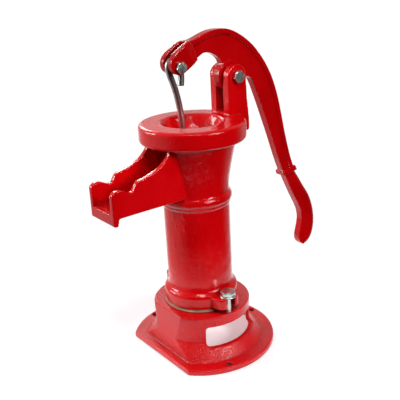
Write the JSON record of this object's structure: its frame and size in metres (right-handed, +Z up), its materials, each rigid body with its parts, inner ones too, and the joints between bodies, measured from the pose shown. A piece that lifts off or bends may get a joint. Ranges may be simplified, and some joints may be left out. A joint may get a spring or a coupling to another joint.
{
  "type": "hand well pump",
  "caption": "Cast-iron pitcher pump: lever on a cap yoke lifts a hooked rod and leather-cupped plunger in a cylinder with an open spout, on a flanged base with side windows.",
  "frame": {"origin": "on the floor plane, at the middle of the whole pump's bounding box; the cylinder's axis stands at x = -0.03855 m", "axes": "+Z up along the cylinder, -X towards the spout, +X towards the handle, Y along the lever's pivot"},
  "size_m": [0.3504, 0.192, 0.4118],
  "materials": {
    "red_enamel": "gloss enamel over rough cast iron",
    "zinc_steel": "bright zinc plate",
    "rod_steel": "drawn bar, greyed",
    "cast_iron": "bare casting",
    "leather": "oiled hide"
  },
  "bodies": {
    "body": {"base": "red_enamel", "base_leather": "leather", "pump_body": "red_enamel", "base_bolt_near": "zinc_steel", "base_bolt_far": "zinc_steel"},
    "cap": {"cap": "red_enamel", "cap_set_screw": "zinc_steel", "fulcrum_bolt": "zinc_steel", "fulcrum_nut": "zinc_steel"},
    "lever": {"lever": "red_enamel", "rod_bolt": "zinc_steel", "rod_nut": "zinc_steel"},
    "rod": {"piston_rod": "rod_steel", "rod_upper_washer": "zinc_steel", "rod_upper_nut": "zinc_steel", "rod_lower_washer": "zinc_steel", "rod_lower_nut": "zinc_steel"},
    "plunger": {"plunger_cage": "cast_iron", "cup_leather": "leather", "plunger_follower": "cast_iron"},
    "plunger_valve": {"plunger_valve": "cast_iron"},
    "foot_valve": {"valve_flap": "leather", "flap_weight": "cast_iron", "flap_washer": "zinc_steel", "flap_screw": "zinc_steel"}
  },
  "joints": [
    {"name": "cap_swivel", "type": "hinge", "parent": "body", "child": "cap", "pos_m": [-0.03855, 0, 0.29], "axis": [0, 0, 1], "range_deg": [-120, 120]},
    {"name": "lever_pivot", "type": "hinge", "parent": "cap", "child": "lever", "pos_m": [0.02145, 0, 0.353], "axis": [0, -1, 0], "range_deg": [0, 45]},
    {"name": "rod_pivot", "type": "hinge", "parent": "lever", "child": "rod", "pos_m": [-0.06005, 0, 0.374], "axis": [0, -1, 0], "range_deg": [-50, 0]},
    {"name": "plunger_slide", "type": "slide", "parent": "body", "child": "plunger", "axis": [0, 0, 1], "range_m": [-0.066, 0]},
    {"name": "plunger_valve_lift", "type": "slide", "parent": "plunger", "child": "plunger_valve", "axis": [0, 0, 1], "range_m": [0, 0.005]},
    {"name": "foot_valve_flap", "type": "hinge", "parent": "body", "child": "foot_valve", "pos_m": [-0.01105, 0, 0.0653], "axis": [0, 1, 0], "range_deg": [0, 25]}
  ],
  "couplings": [
    {"joint": "rod_pivot", "follows": "lever_pivot", "ratio": -1.0364},
    {"joint": "plunger_slide", "follows": "lever_pivot", "m_per_rad": -0.08272}
  ]
}
